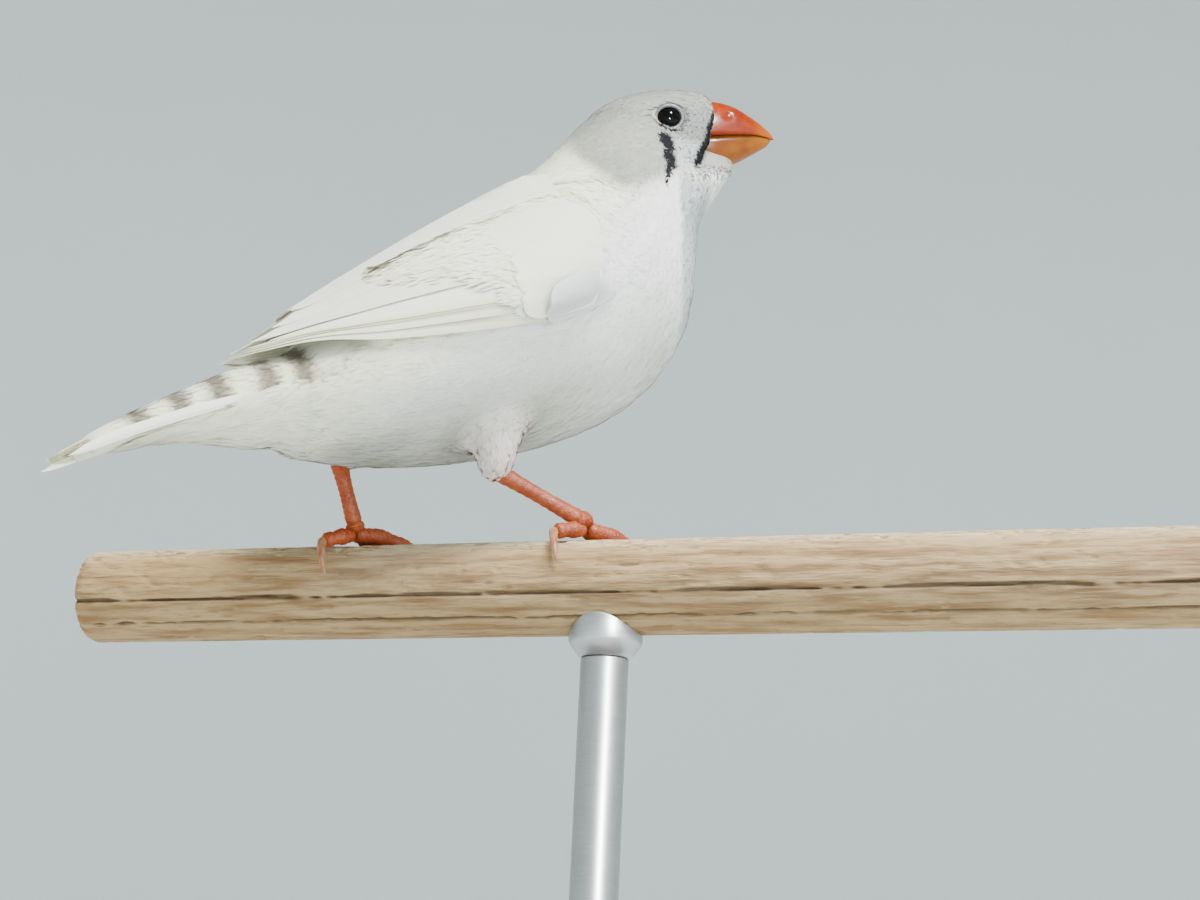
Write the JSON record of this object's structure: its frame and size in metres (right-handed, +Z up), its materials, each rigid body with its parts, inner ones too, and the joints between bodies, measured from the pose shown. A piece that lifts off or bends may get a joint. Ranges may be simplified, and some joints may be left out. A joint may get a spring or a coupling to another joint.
{
  "type": "zebra finch figure",
  "caption": "Life-size white zebra finch with folded wings, gripping a short length of round perch on a plain display stand.",
  "frame": {"origin": "centre of the underside of the stand's base", "axes": "+X along the perch, +Y towards the side the bird faces, +Z up"},
  "size_m": [0.15, 0.0758, 0.154],
  "materials": {
    "plumage": "soft white feathers, cream on the back",
    "bill": "glossy orange horn",
    "eye": "wet, near black",
    "leg_skin": "scaly orange skin",
    "claw": "pale horn",
    "perch_wood": "bare worn dowel",
    "base_wood": "dark stained, satin",
    "stand_steel": "brushed"
  },
  "bodies": {
    "root": {"bill_lower": "bill", "bill_upper": "bill", "claw_left_1": "claw", "claw_left_2": "claw", "claw_left_3": "claw", "claw_left_4": "claw", "claw_right_1": "claw", "claw_right_2": "claw", "claw_right_3": "claw", "claw_right_4": "claw", "eye_left": "eye", "eye_right": "eye", "foot_left": "leg_skin", "foot_right": "leg_skin", "head": "plumage", "neck": "plumage", "perch": "perch_wood", "shank_left": "leg_skin", "shank_right": "leg_skin", "stand_base": "base_wood", "stand_rod": "stand_steel", "stand_saddle": "stand_steel", "stand_socket": "stand_steel", "tail": "plumage", "thigh_left": "plumage", "thigh_right": "plumage", "torso": "plumage", "wing_left": "plumage", "wing_right": "plumage"}
  },
  "joints": []
}
